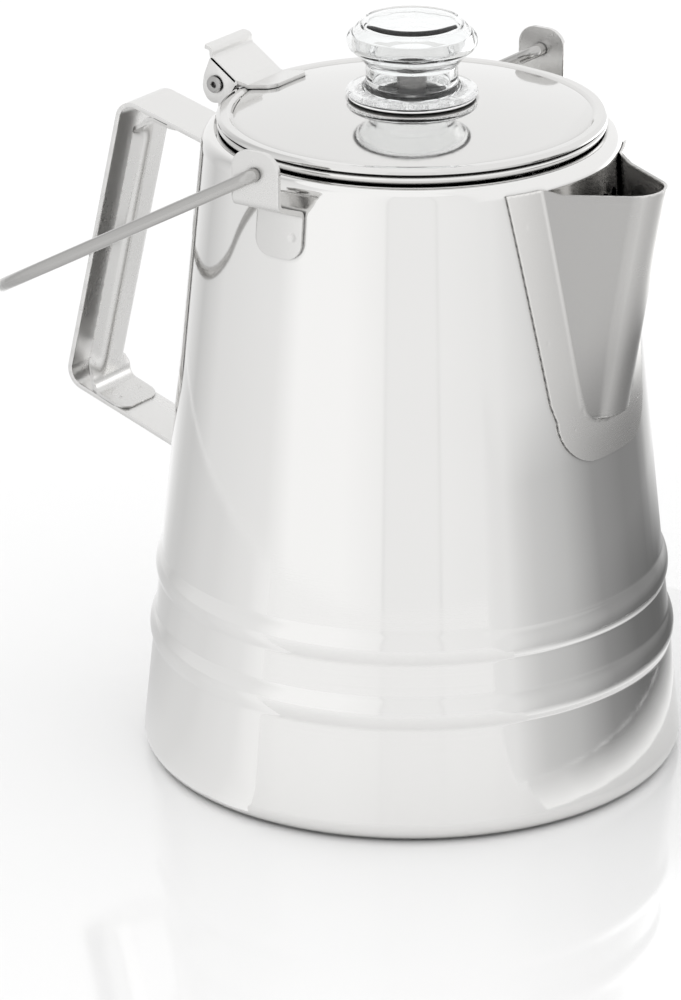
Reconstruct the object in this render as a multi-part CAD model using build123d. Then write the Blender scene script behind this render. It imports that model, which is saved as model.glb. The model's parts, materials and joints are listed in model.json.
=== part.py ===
from build123d import *

import os
from math import cos, radians, sin, sqrt

# Stove-top camp percolator: pot with folded spout, bail, side handle, hinged lid, glass knob, pump, basket.
# Millimetres, +Z up. The origin is the centre of the base on the floor, +X points to the spout and -X to the
# handle.

# Pot wall: a straight cone, its radius falling by TAPER for each millimetre of height
WALL_R = 84.3
TAPER = 0.1055
WALL_T = 0.9
CORNER_R = 5.9
CORNER_X = 77.8
BEADS = (41.0, 61.0)
BEAD_HALF = 4.7
BEAD_OUT = 1.4
SHOULDER_Z = 194.5
RIM_TOP = 199.2
LIP_R = 57.7
FOOT_RING_R = 70.0
BASE_DISC_R = 65.5
PAN_TOP = 8.0
RIM_LOW = 191.0

# Strainer holes behind the spout
STRAINER_R = 1.9
STRAINER_PITCH_Y = 7.0
STRAINER_ROWS = ((136.0, 2), (146.0, 3), (156.0, 2), (166.0, 3), (176.0, 4), (186.0, 5))

# Spout: one folded sheet with a welding flange that lies on the wall
SPOUT_T = 1.0
SPOUT_TOP = 194.6
SPOUT_LOW = 121.5
SPOUT_ROOT = ((50.0, 28.4), (69.5, 18.0))
SPOUT_CHEEK = ((82.5, 9.6), (72.9, 8.0))
SPOUT_TIP = (88.4, 75.4)
FLANGE_OUTLINE = ((196.1, 33.0), (162.0, 29.0), (131.0, 25.2))
FLANGE_LOW = 110.5

# Bail and its two ears
EAR_X = -2.8
EAR_Z = 204.3
EAR_T = 1.4
EAR_FACE_Y = 77.5
EAR_W = 16.6
EAR_TOP = 211.2
WIRE_R = 2.0
PIN_GAP = 0.08
BAIL_REACH = 131.8
BAIL_CORNER = 48.0
BAIL_LEG_Y = 80.3
BAIL_DIP = 28.9

# Side handle: an outer strap and a channel-shaped inner grip
STRAP_W = 19.0
STRAP_T = 1.5
ARM_TOP = ((-64.0, 184.1), (-102.97, 193.6))
ARM_LOW = ((-76.0, 77.7), (-126.73, 95.4))
STRAP_BEND = 6.5
GRIP_T = 1.2
GRIP_FACE_W = 11.5
GRIP_DEPTH = 10.8
GRIP_FLANGE = 5.2

# Lid, hinge and thumb lever
DOME_TOP = 209.2
DOME_R = 294.1
LID_T = 0.9
LID_R = 58.9
LID_HOLE_R = 13.2
SKIRT_LOW = 192.6
HINGE_X = -65.3
HINGE_Z = 204.1
HINGE_PIN_R = 2.0
LEVER_W = 20.8
LEVER_T = 1.2
TONGUE_X = -44.1
TONGUE_CORNER = 3.4
KNUCKLE_HALF = 8.8

# Glass knob with a bayonet collar under the lid
KNOB_LOW = 209.7
KNOB_NECK_R = 13.9
KNOB_CAP_R = 19.7
KNOB_CAVITY_R = 10.3
LUG_R = 16.0
LUG_ARC = 56.0

# Pump and basket
STEM_R = 4.5
STEM_BORE_R = 3.7
STEM_TOP = 217.0
FOOT_R = 36.0
BASKET_R = 45.0
BASKET_T = 0.8
BASKET_LOW = 112.0
BASKET_TOP = 172.0
SLIDE_GAP = 0.4


def wall(z, out=0.0):
    """Radius of the wall's outer face at height z, moved out by a given amount."""
    return WALL_R - TAPER * z + out


def face_xz(start, *steps):
    """A closed face in the XZ plane. A step is (x, z), or (mid_x, mid_z, x, z) for an arc."""
    edges, here = [], start
    for step in steps + (start,):
        there = step[-2:]
        a, b = (here[0], 0, here[1]), (there[0], 0, there[1])
        if len(step) == 4:
            edges.append(ThreePointArc(a, (step[0], 0, step[1]), b))
        elif sqrt((a[0] - b[0]) ** 2 + (a[2] - b[2]) ** 2) > 1e-6:
            edges.append(Line(a, b))
        here = there
    return make_face(edges)


def turned(start, *steps):
    """A solid of revolution about Z from a closed profile of (radius, height) steps."""
    return revolve(face_xz(start, *steps), Axis.Z)


def across(start, *steps, width):
    """A closed XZ profile made into a plate of the given width, centred on y = 0."""
    return Pos(0, -width / 2, 0) * extrude(face_xz(start, *steps), amount=width, dir=(0, 1, 0))


def drill(x, y, z, radius, direction, length=30.0):
    """A round cutter centred on a point."""
    plane = Plane(origin=(x, y, z), z_dir=direction)
    return plane * Cylinder(radius, length)


def wall_layer(z0, z1, thick, gap=0.0):
    """A conical layer lying on the pot wall."""
    return turned(
        (wall(z0, gap), z0), (wall(z0, gap + thick), z0), (wall(z1, gap + thick), z1), (wall(z1, gap), z1)
    )


def bead_arc(z, out, upward=True):
    """The arc step over one rolled bead, for a face that lies `out` from the wall."""
    end = z + BEAD_HALF if upward else z - BEAD_HALF
    return (wall(z, out + BEAD_OUT), z, wall(end, out), end)


def outer_wall_steps():
    """Steps up the outside of the pot, from the base ring to the rolled lip."""
    steps = [(CORNER_X, 0.0), (CORNER_X + 4.17, 1.73, wall(CORNER_R), CORNER_R)]
    for z in BEADS:
        steps += [(wall(z - BEAD_HALF), z - BEAD_HALF), bead_arc(z, 0.0)]
    return steps + [(wall(SHOULDER_Z), SHOULDER_Z), (62.7, 197.6, 60.4, RIM_TOP), (LIP_R, RIM_TOP)]


def pot_envelope():
    """Everything inside the outer face of the pot, as one solid for trimming what is welded to it."""
    return turned((0.0, 0.0), *outer_wall_steps(), (0.0, RIM_TOP))


def pot_sheet():
    """The whole sheet of the pot: bottom, corner, wall with two beads, shoulder and rolled lip."""
    inner = [(LIP_R, RIM_TOP - 0.9), (60.0, RIM_TOP - 0.9)]
    inner += [(61.7, 197.0, wall(SHOULDER_Z - 0.2, -WALL_T), SHOULDER_Z - 0.2)]
    for z in reversed(BEADS):
        inner += [(wall(z + BEAD_HALF, -WALL_T), z + BEAD_HALF), bead_arc(z, -WALL_T, upward=False)]
    inner += [(wall(CORNER_R, -WALL_T), CORNER_R), (CORNER_X + 3.5, 2.4, CORNER_X, 0.9)]
    inner += [(FOOT_RING_R + 0.2, 0.9), (66.2, 2.5), (0.0, 2.5)]
    return turned((0.0, 1.6), (66.0, 1.6), (FOOT_RING_R, 0.0), *outer_wall_steps(), *inner)


def slice_z(solid, z0, z1):
    """The part of a solid between two heights."""
    return solid & (Pos(0, 0, (z0 + z1) / 2) * Box(400, 400, z1 - z0))


def pot_wall(sheet):
    """The conical wall, with the strainer holes that the spout covers."""
    side = slice_z(sheet, PAN_TOP, RIM_LOW)
    for z, count in STRAINER_ROWS:
        for i in range(count):
            side -= drill(wall(z), (i - (count - 1) / 2) * STRAINER_PITCH_Y, z, STRAINER_R, (1, 0, 0), 24)
    return side


def base_disc():
    return turned((0.0, 0.0), (BASE_DISC_R - 1.0, 0.0), (BASE_DISC_R, 1.0), (BASE_DISC_R, 1.6), (0.0, 1.6))


def between(pair, t):
    """The value a share t of the way from the first number of a pair to the second."""
    return pair[0] + (pair[1] - pair[0]) * t


def spout_section(z, inset):
    """Plan of the folded channel at height z: straight cheeks and a rounded nose."""
    t = (SPOUT_TOP - z) / (SPOUT_TOP - SPOUT_LOW)
    root = Vector(*[between(pair, t) for pair in zip(*SPOUT_ROOT)])
    cheek = Vector(*[between(pair, t) for pair in zip(*SPOUT_CHEEK)])
    along = (cheek - root).normalized()
    step = Vector(-along.Y, along.X) * inset
    root, cheek = root - step, cheek - step
    a, b = (root.X, root.Y, z), (cheek.X, cheek.Y, z)
    c = (between(SPOUT_TIP, t) - inset, 0.0, z)
    d, e = (cheek.X, -cheek.Y, z), (root.X, -root.Y, z)
    return make_face([Line(a, b), ThreePointArc(b, c, d), Line(d, e), Line(e, a)])


def spout_channel(inset):
    """The channel's outside, or with an inset its inside, open at the top and closed at the bottom."""
    levels = (SPOUT_TOP + (4.0 if inset else 0.0), SPOUT_LOW + inset)
    return loft([spout_section(z, inset) for z in levels], ruled=True)


def flange_outline():
    """The flange seen along X, as a face in the YZ plane with round lower corners."""
    right = [(y, z) for z, y in FLANGE_OUTLINE]
    low = FLANGE_LOW
    pts = [(0, -y, z) for y, z in right]
    edges = [Line(a, b) for a, b in zip(pts, pts[1:])]
    corner = [(0, -23.2, 124.0), (0, -18.4, low + 4.6), (0, -9.0, low)]
    edges += [Line(pts[-1], corner[0]), ThreePointArc(*corner)]
    half = Wire(edges)
    other = half.mirror(Plane.XZ)
    bottom = Line(corner[-1], (0, 9.0, low))
    top = Line(pts[0], (0, right[0][0], right[0][1]))
    return make_face(half.edges() + other.edges() + [bottom, top])


def spout(envelope):
    outline = Pos(40, 0, 0) * extrude(flange_outline(), amount=60, dir=(1, 0, 0))
    flange = wall_layer(FLANGE_LOW - 2, FLANGE_OUTLINE[0][0], SPOUT_T + 0.5, -0.5) & outline
    body = flange + spout_channel(0.0) - envelope - spout_channel(SPOUT_T)
    for side in (-1, 1):
        for z, y in ((186.0, 28.0), (150.0, 24.4), (122.0, 17.0)):
            body -= dimple_on_wall(side * y, z, SPOUT_T)
    return body


def dimple_on_wall(y, z, thick, sign=1):
    """A spot-weld dimple in a sheet that lies on the wall on the +X (sign 1) or -X (sign -1) side."""
    x = sign * sqrt(wall(z, thick) ** 2 - y * y)
    return drill(x, y, z, 1.2, (x, y, 8.0), 0.5)


def ear(side, envelope):
    """A Z-shaped ear: weld tab on the wall, sloping shelf, upright plate with the bail's hole."""
    y_out, y_in = EAR_FACE_Y, EAR_FACE_Y - EAR_T
    outer = [(58, 188.9), (y_out, 193.7), (y_out, EAR_TOP)]
    inner = [(y_in, EAR_TOP), (y_in, 194.9), (58, 190.3)]
    profile = Polyline(*outer, *inner, close=True)
    plate = make_face(profile)
    plate = fillet(plate.vertices().sort_by_distance((y_out, 193.7))[0], 2.4)
    plate = fillet(plate.vertices().sort_by_distance((y_in, 194.9))[0], 1.0)
    side_plane = Plane(origin=(EAR_X - EAR_W / 2, 0, 0), x_dir=(0, 1, 0), z_dir=(1, 0, 0))
    bent = side_plane * extrude(plate, amount=EAR_W)
    half = EAR_W / 2
    upright = Plane.XZ * (Pos(EAR_X, 180) * fillet(Rectangle(2 * half, 2 * (EAR_TOP - 180)).vertices(), 6.0))
    bent = bent & extrude(upright, amount=-120)
    low_corners = Rectangle(2 * half, 16.0).vertices().group_by(Axis.Y)[0]
    tab_shape = Plane.XZ * (Pos(EAR_X, 184.0) * fillet(low_corners, 5.0))
    tab = wall_layer(172, 192, EAR_T) & extrude(tab_shape, amount=-120)
    body = (bent - envelope) + tab
    for dx in (-5.0, 5.0):
        x = EAR_X + dx
        y = sqrt(wall(182.8, EAR_T) ** 2 - x * x)
        body -= drill(x, y, 182.8, 1.2, (x, y, 8.0), 0.6)
    body -= drill(EAR_X, y_out, EAR_Z, WIRE_R + PIN_GAP, (0, 1, 0), 10)
    return body if side > 0 else body.mirror(Plane.XZ)


def offset_line(a, b, distance):
    """The straight line through a and b, moved to its left by a distance."""
    length = sqrt((b[0] - a[0]) ** 2 + (b[1] - a[1]) ** 2)
    n = (-(b[1] - a[1]) / length * distance, (b[0] - a[0]) / length * distance)
    return (a[0] + n[0], a[1] + n[1]), (b[0] + n[0], b[1] + n[1])


def meet(line1, line2):
    """Where two straight lines in the XZ plane cross."""
    (x1, z1), (x2, z2) = line1
    (x3, z3), (x4, z4) = line2
    den = (x1 - x2) * (z3 - z4) - (z1 - z2) * (x3 - x4)
    p, q = x1 * z2 - z1 * x2, x3 * z4 - z3 * x4
    return ((p * (x3 - x4) - (x1 - x2) * q) / den, (p * (z3 - z4) - (z1 - z2) * q) / den)


def handle_lines(inset, grip_inset=None):
    """Top arm, grip and lower arm of the handle as lines, moved inwards from the strap's outer face."""
    grip_inset = inset if grip_inset is None else grip_inset
    top = offset_line(*ARM_TOP, inset)
    grip = offset_line(ARM_TOP[1], ARM_LOW[1], grip_inset)
    low = offset_line(ARM_LOW[1], ARM_LOW[0], inset)
    return top, grip, low


def strap_path(inset, grip_inset=None):
    """Corner points of the handle's side view, from the wall at the top to the wall at the bottom."""
    top, grip, low = handle_lines(inset, grip_inset)
    return [top[0], meet(top, grip), meet(grip, low), low[1]]


def strip(outer, inner, width, bend, thick):
    """A bent strip between two parallel paths, with round bends at the two middle corners."""
    solid = across(outer[0], *outer[1:], *reversed(inner), width=width)
    for points, radius in ((inner, bend - thick), (outer, bend)):
        for x, z in points[1:3]:
            edge = solid.edges().filter_by(Axis.Y).sort_by_distance((x, 0, z))[0]
            solid = fillet(edge, radius)
    return solid


def handle_tab(z0, z1):
    """A welding tab of the strap, thick enough inwards to be trimmed to the wall with the strap."""
    tab = wall_layer(z0, z1, STRAP_T + 1.0, -1.0) & (Pos(-80, 0, (z0 + z1) / 2) * Box(60, STRAP_W, z1 - z0))
    for y in (-5.0, 5.0):
        tab -= dimple_on_wall(y, (z0 + z1) / 2, STRAP_T, -1)
    return tab


def inward(points, far=12.0):
    """The same path with both ends carried on past the pot wall, so they can be trimmed to it."""
    (x0, z0), (x1, z1) = points[0], points[1]
    (x3, z3), (x2, z2) = points[-1], points[-2]
    first = (x0 + far, z0 + far * (z0 - z1) / (x0 - x1))
    last = (x3 + far, z3 + far * (z3 - z2) / (x3 - x2))
    return [first] + points[1:-1] + [last]


def handle_strap(envelope):
    outer, inner = inward(strap_path(0.0)), inward(strap_path(STRAP_T))
    solid = strip(outer, inner, STRAP_W, STRAP_BEND, STRAP_T)
    return solid + handle_tab(171.0, 183.4) + handle_tab(78.6, 91.0) - envelope


def cut_ends(solid, x_top, x_low):
    """Trims the grip's two tabs at their ends, square to X."""
    solid -= Pos(x_top + 30, 0, 186) * Box(60, 60, 60)
    return solid - Pos(x_low + 30, 0, 85) * Box(60, 60, 60)


def handle_grip():
    face, back = strap_path(STRAP_T, GRIP_DEPTH - GRIP_T), strap_path(STRAP_T + GRIP_T, GRIP_DEPTH)
    solid = cut_ends(strip(face, back, STRAP_W, 5.0, GRIP_T), -81.0, -103.5)
    top, low = back[1], back[2]
    ux, uz = low[0] - top[0], low[1] - top[1]
    length = sqrt(ux * ux + uz * uz)
    ux, uz = ux / length, uz / length
    nx, nz = -uz, ux
    if nx > 0:
        nx, nz = -nx, -nz

    def at(s, d):
        return (top[0] + ux * s + nx * d, top[1] + uz * s + nz * d)

    side = (STRAP_W - GRIP_FACE_W) / 2
    for sign in (-1, 1):
        y = sign * (GRIP_FACE_W / 2 + side)
        waist = across(at(3.5, -2), at(length - 3.5, -2), at(length - 8.5, 3), at(8.5, 3), width=2 * side)
        solid -= Pos(0, y, 0) * waist
        flange = across(
            at(5.5, 0.4), at(length - 5.5, 0.4), at(length - 10.0, GRIP_FLANGE), at(10.0, GRIP_FLANGE),
            width=GRIP_T
        )
        solid += Pos(0, sign * (GRIP_FACE_W - GRIP_T) / 2, 0) * flange
    for y in (-4.8, 4.8):
        for (x, z), (ax, az) in (((-86.0, 0.0), ARM_TOP[0]), ((-108.8, 0.0), ARM_LOW[0])):
            arm = ARM_TOP if az > 150 else ARM_LOW
            slope = (arm[1][1] - arm[0][1]) / (arm[1][0] - arm[0][0])
            down = -1 if az > 150 else 1
            lift = down * (STRAP_T + GRIP_T) * sqrt(1 + slope * slope)
            solid -= drill(x, y, arm[0][1] + slope * (x - arm[0][0]) + lift, 1.1, (slope, 0, -1), 0.5)
    return solid


def hinge_bracket(envelope):
    """A knuckle round the hinge pin on a leaf that stands on the pot's shoulder."""
    leaf = Pos(-64.9, 0, 195.2) * Box(1.4, 2 * KNUCKLE_HALF, 17.0) - envelope
    knuckle = drill(HINGE_X, 0, HINGE_Z, 3.4, (0, 1, 0), 2 * KNUCKLE_HALF)
    return leaf + knuckle - drill(HINGE_X, 0, HINGE_Z, HINGE_PIN_R, (0, 1, 0), 40)


def hinge_pin():
    half = LEVER_W / 2 + 0.9
    pin = drill(HINGE_X, 0, HINGE_Z, HINGE_PIN_R, (0, 1, 0), 2 * half)
    for side in (-1, 1):
        head = drill(HINGE_X, side * (half + 0.1), HINGE_Z, 2.7, (0, 1, 0), 0.7)
        pin += head
        pin -= drill(HINGE_X, side * (half + 0.4), HINGE_Z, 0.9, (0, 1, 0), 1.0)
    return pin


def dome_z(r, drop=0.0):
    """Height of the lid's dome at a radius, or of the face a given distance below it."""
    return DOME_TOP - DOME_R + sqrt((DOME_R - drop) ** 2 - r * r)


def dome_arc(r0, r1, drop=0.0):
    """The arc step along the dome from radius r0 to r1."""
    mid = (r0 + r1) / 2
    return (mid, dome_z(mid, drop), r1, dome_z(r1, drop))


def lid_shell():
    hole, edge = LID_HOLE_R, 53.8
    under = dome_z(edge, LID_T)
    shell = turned(
        (hole, dome_z(hole)), dome_arc(hole, edge), (54.5, 203.9), (55.2, 204.3), (57.4, 204.4),
        (58.6, 204.0, LID_R, 203.1), (LID_R, 202.8), (LID_R - 0.5, 202.7), (57.4, 203.4),
        (55.4, 203.4), (edge, under), dome_arc(edge, hole, LID_T),
    )
    for turn in (0, 180):
        shell -= Rot(0, 0, turn) * notch()
    return shell


def notch():
    """A bayonet notch in the lid's centre hole, on the +X side, just longer than a lug."""
    return ring_arc(LID_HOLE_R - 2, LUG_R + 0.4, 190.0, 215.0, LUG_ARC + 8)


def ring_arc(r0, r1, z0, z1, arc):
    """Part of a square ring, centred on the +X axis."""
    return Rot(0, 0, -arc / 2) * revolve(face_xz((r0, z0), (r1, z0), (r1, z1), (r0, z1)), Axis.Z, arc)


def lid_skirt():
    """Ring under the lid's border with a rest bead, and the skirt that plugs into the pot."""
    return turned(
        (56.6, 203.4), (57.3, 203.4), (57.3, 202.2), (58.5, 201.7), (58.9, 201.3), (58.6, 200.7),
        (58.2, 199.5), (57.0, 199.5), (56.7, 199.0), (55.9, SKIRT_LOW), (55.1, SKIRT_LOW), (55.9, 199.0),
        (55.9, 203.4),
    )


def lever_side(y, lid):
    """One cheek of the thumb lever, with the hole for the hinge pin."""
    cheek = across(
        (-70.2, 203.0), (-66.9, 212.4), (-66.0, 212.6), (-57.3, 206.8), (-55.6, 204.9), (-60.4, 201.6),
        (-65.0, 197.8, -70.2, 203.0), width=LEVER_T,
    )
    return Pos(0, y, 0) * cheek - lid


def lid_lever(lid):
    """The hinge strap welded to the lid: tongue, sloping web, two cheeks and a folded thumb lip."""
    web = across(
        (-54.6, 205.9), (-57.4, 206.5), (-66.3, 212.6), (-66.3, 215.3), (-69.8, 216.0), (-69.6, 214.8),
        (-67.5, 214.3), (-67.5, 212.0), (-58.0, 205.3), (-54.6, 204.7), width=LEVER_W,
    )
    layer = turned(
        (38.0, dome_z(38.0)), dome_arc(38.0, 57.0),
        (57.0, dome_z(57.0, -LEVER_T)), dome_arc(57.0, 38.0, -LEVER_T)
    )
    plan = fillet(Rectangle(24.0, LEVER_W - 2).vertices().group_by(Axis.X)[-1], TONGUE_CORNER)
    tongue = layer & (Pos(TONGUE_X - 12.0, 0, 195) * extrude(plan, amount=20))
    body = web + (tongue - lid)
    for y in (-1, 1):
        body += lever_side(y * (LEVER_W - LEVER_T) / 2, lid)
        body -= drill(-50.5, y * 4.5, dome_z(50.7, -LEVER_T), 1.1, (0, 0, 1), 0.5)
    body -= lid
    return body - drill(HINGE_X, 0, HINGE_Z, HINGE_PIN_R + PIN_GAP, (0, 1, 0), 40)


def glass_knob():
    """Hollow glass knob: collar through the lid, thin flange, neck and a flared cap with a flat top."""
    low, r = KNOB_LOW, KNOB_CAVITY_R
    outside = [
        (12.2, 203.6), (12.2, low), (19.0, low), (19.8, low + 0.4, 20.0, low + 1.0),
        (19.6, low + 1.7, 18.6, low + 2.0), (15.6, low + 2.6, 14.2, low + 4.2), (KNOB_NECK_R, low + 5.4),
        (KNOB_NECK_R, low + 9.4), (15.2, 220.9, 18.4, 223.9), (19.4, 225.1, KNOB_CAP_R, 226.5),
        (19.4, 227.9, 18.4, 229.0), (15.6, 231.9), (14.9, 232.6, 13.9, 233.0), (0.0, 233.0),
    ]
    inside = [
        (0.0, 230.8), (12.8, 230.8), (13.9, 230.5, 14.8, 229.9), (16.4, 228.2), (17.3, 226.7, 16.9, 225.2),
        (13.2, 221.6), (12.0, 220.4, 11.6, 218.8), (11.6, 212.6), (r, 210.6),
    ]
    return turned((r, 203.6), *outside, *inside)


def knob_collar():
    """Metal collar on the glass below the lid, with two lugs that lock under it."""
    ring = turned((12.2, 204.4), (12.9, 204.4), (12.9, 207.4), (12.2, 207.4))
    for turn in (90, 270):
        ring += Rot(0, 0, turn) * ring_arc(12.5, LUG_R, 206.2, 207.4, LUG_ARC)
    return ring


def knob_seal():
    return turned((13.4, 209.2), (19.2, 209.2), (19.4, 209.45, 19.2, KNOB_LOW), (13.4, KNOB_LOW))


def bail_path():
    """Centre line of half the bail in its own plane: u runs out from the pivot, v along it."""
    leg, r = BAIL_LEG_Y, 2.6
    k = r * (1 - cos(radians(45)))
    inner, hook = EAR_FACE_Y - EAR_T - 1.5, 5.5
    c = BAIL_CORNER * (1 - cos(radians(45)))
    return [
        Line((hook, inner - r), (r, inner - r)),
        ThreePointArc((r, inner - r), (k, inner - r + k), (0, inner)),
        Line((0, inner), (0, leg - r)),
        ThreePointArc((0, leg - r), (k, leg - k), (r, leg)),
        Line((r, leg), (BAIL_REACH - BAIL_CORNER, leg)),
        ThreePointArc(
            (BAIL_REACH - BAIL_CORNER, leg), (BAIL_REACH - c, leg - c), (BAIL_REACH, leg - BAIL_CORNER)
        ),
        Line((BAIL_REACH, leg - BAIL_CORNER), (BAIL_REACH, 0)),
    ]


def bail_wire():
    """The bail at rest: it hangs on the handle side at BAIL_DIP below the level."""
    dip = radians(BAIL_DIP)
    plane = Plane(origin=(EAR_X, 0, EAR_Z), x_dir=(-cos(dip), 0, -sin(dip)), z_dir=(sin(dip), 0, -cos(dip)))
    half = [plane * edge for edge in bail_path()]
    wire = Wire([e for piece in half for e in piece.edges()])
    start = wire @ 1
    section = Plane(origin=start, z_dir=(0, 1, 0)) * Circle(WIRE_R)
    leg = sweep(section, path=wire)
    return leg + leg.mirror(Plane.XZ)


def stem_tube():
    tube = turned((STEM_BORE_R, 8.0), (STEM_R, 8.0), (STEM_R, STEM_TOP), (STEM_BORE_R, STEM_TOP))
    return tube - drill(0, 0, 14.0, 1.5, (1, 0, 0), 20)


def pump_foot():
    """Bell-shaped foot that stands on the pot's bottom, with slots at its rim for the water."""
    bell = turned(
        (STEM_R, 20.0), (STEM_R, 24.0), (5.4, 24.0), (6.0, 20.6), (21.0, 15.2, FOOT_R - 0.8, 6.6),
        (FOOT_R, 5.0), (FOOT_R, 2.8), (FOOT_R - 0.8, 2.8), (FOOT_R - 0.8, 5.0), (20.4, 14.3, STEM_R, 20.0),
    )
    for i in range(6):
        bell -= Rot(0, 0, 60 * i) * (Pos(FOOT_R, 0, 3.4) * Box(6, 7, 2.0))
    return bell


def stem_collar():
    return turned((STEM_R, 108.7), (7.2, 108.7), (8.2, 109.7), (8.2, 111.7), (STEM_R, 111.7))


def perforated(plate, rings, radius, z):
    """Drills rings of holes through a flat plate: each ring is (radius of the ring, how many)."""
    for ring_r, count in rings:
        for i in range(count):
            plate -= Rot(0, 0, 360 / count * (i + 0.5)) * (Pos(ring_r, 0, z) * Cylinder(radius, 6))
    return plate


def basket():
    """Coffee basket: perforated cup with a sleeve that runs on the stem."""
    bore, low, top, t = STEM_R + SLIDE_GAP, BASKET_LOW, BASKET_TOP, BASKET_T
    cup = turned(
        (bore, low), (BASKET_R - 3.0, low), (BASKET_R - 0.9, low + 0.9, BASKET_R, low + 3.0), (BASKET_R, top),
        (BASKET_R - t, top), (BASKET_R - t, low + 3.2), (BASKET_R - 1.5, low + 1.5, BASKET_R - 3.2, low + t),
        (bore + t, low + t), (bore + t, top - 2.0), (bore, top - 2.0),
    )
    return perforated(cup, ((12.0, 10), (19.0, 16), (26.0, 22), (33.0, 28), (39.5, 34)), 1.1, low)


def basket_lid():
    """Spreader: perforated cover on the basket, with a dished edge and a centre collar."""
    bore, z, t = STEM_R + SLIDE_GAP, BASKET_TOP + 0.3, BASKET_T
    cover = turned(
        (bore, z), (BASKET_R + 1.4, z), (BASKET_R + 1.4, z + 1.8),
        (BASKET_R + 0.7, z + 1.8), (BASKET_R + 0.7, z + t), (bore + 1.6, z + t), (bore + 0.9, z + 1.6),
        (bore + 0.9, z + 8.0), (bore, z + 8.0),
    )
    return perforated(cover, ((11.0, 8), (18.0, 14), (25.0, 20), (32.0, 26), (39.0, 32)), 0.9, z)


def build():
    sheet, envelope, lid = pot_sheet(), pot_envelope(), lid_shell()
    return {
        "pot_pan": slice_z(sheet, -10.0, PAN_TOP),
        "pot_wall": pot_wall(sheet),
        "pot_rim": slice_z(sheet, RIM_LOW, RIM_TOP + 10.0),
        "base_disc": base_disc(),
        "spout": spout(envelope),
        "ear_left": ear(-1, envelope),
        "ear_right": ear(1, envelope),
        "handle_strap": handle_strap(envelope),
        "handle_grip": handle_grip(),
        "hinge_bracket": hinge_bracket(envelope),
        "hinge_pin": hinge_pin(),
        "lid_shell": lid,
        "lid_skirt": lid_skirt(),
        "lid_lever": lid_lever(lid),
        "glass_knob": glass_knob(),
        "knob_collar": knob_collar(),
        "knob_seal": knob_seal(),
        "bail_wire": bail_wire(),
        "stem_tube": stem_tube(),
        "pump_foot": pump_foot(),
        "stem_collar": stem_collar(),
        "basket": basket(),
        "basket_lid": basket_lid(),
    }


os.makedirs("parts", exist_ok=True)
for name, solid in build().items():
    export_step(solid, f"parts/{name}.step")
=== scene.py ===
import json
from math import asin, atan2, ceil, cos, degrees, hypot, pi, radians, sin, sqrt, tan

import bmesh
import bpy
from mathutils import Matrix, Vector

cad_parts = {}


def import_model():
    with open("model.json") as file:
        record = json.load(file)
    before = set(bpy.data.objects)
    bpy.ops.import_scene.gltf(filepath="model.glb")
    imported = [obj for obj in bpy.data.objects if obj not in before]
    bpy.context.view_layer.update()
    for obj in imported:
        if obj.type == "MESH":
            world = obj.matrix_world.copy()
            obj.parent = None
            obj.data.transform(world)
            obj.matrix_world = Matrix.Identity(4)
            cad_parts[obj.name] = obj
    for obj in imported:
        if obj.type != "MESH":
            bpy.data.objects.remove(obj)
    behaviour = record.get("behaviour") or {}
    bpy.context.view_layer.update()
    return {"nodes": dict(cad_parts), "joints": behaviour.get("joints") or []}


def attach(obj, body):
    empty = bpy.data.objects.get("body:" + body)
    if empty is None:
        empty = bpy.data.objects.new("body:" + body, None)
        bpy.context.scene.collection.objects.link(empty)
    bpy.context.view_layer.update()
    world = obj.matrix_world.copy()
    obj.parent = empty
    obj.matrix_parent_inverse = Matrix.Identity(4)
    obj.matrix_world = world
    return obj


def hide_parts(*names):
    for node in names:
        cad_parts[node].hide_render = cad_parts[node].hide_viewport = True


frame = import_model()

# ---------------------------------------------------------------- sizes, in millimetres
MM = 0.001
JOINTS = {joint["name"]: joint for joint in frame["joints"]}
HINGE_X, HINGE_Z = (JOINTS["lid_hinge"]["pos_m"][i] / MM for i in (0, 2))
EAR_X, EAR_Z = (JOINTS["bail_swing"]["pos_m"][i] / MM for i in (0, 2))

WALL_R, TAPER, WALL_T = 84.3, 0.1055, 0.9
CORNER_R, CORNER_X = 5.9, 77.8
BEADS, BEAD_HALF, BEAD_OUT = (41.0, 61.0), 4.7, 1.4
SHOULDER_Z, RIM_TOP, LIP_R = 194.5, 199.2, 57.7
STRAINER_R, STRAINER_PITCH_Y = 1.9, 7.0
STRAINER_ROWS = ((136.0, 2), (146.0, 3), (156.0, 2), (166.0, 3), (176.0, 4), (186.0, 5))

SPOUT_T, SPOUT_TOP, SPOUT_LOW = 1.0, 194.6, 121.5
FLANGE_TOP, FLANGE_LOW, FLANGE_CORNER = 196.1, 110.5, 14.6
# (height, half-width) down the flange's sides, the last where its round end starts
FLANGE_SIDES = ((196.1, 33.0), (162.0, 29.0), (131.0, 25.2), (125.1, 23.4))
# The fold's corners in plan at the top and at the low end: behind the wall, at the nose, and the nose's tip
SPOUT_ROOT, SPOUT_CHEEK, SPOUT_TIP = ((50.0, 28.4), (69.5, 18.0)), ((82.5, 9.6), (72.9, 8.0)), (88.4, 75.4)
SPOUT_WELDS = ((186.0, 28.2), (150.0, 24.6), (122.0, 17.5))
EAR_T, EAR_FACE_Y, EAR_W, EAR_TOP = 1.4, 77.5, 16.6, 211.2
EAR_LOW, EAR_SHELF_Z, EAR_TOP_CORNER, EAR_LOW_CORNER, EAR_WELD_Z = 176.0, 190.2, 6.0, 5.0, 182.8
WIRE_R, BAIL_REACH, BAIL_CORNER, BAIL_LEG_Y, BAIL_DIP = 2.0, 131.8, 48.0, 80.3, 28.9
STRAP_W, STRAP_T, STRAP_BEND = 19.0, 1.5, 6.5
ARM_TOP, ARM_LOW = ((-64.0, 184.1), (-102.97, 193.6)), ((-76.0, 77.7), (-126.73, 95.4))
TAB_TOP, TAB_LOW, TAB_BEND, TAB_WELDS = (171.2, 182.9), (79.6, 90.8), 2.6, (177.0, 85.0)
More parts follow.
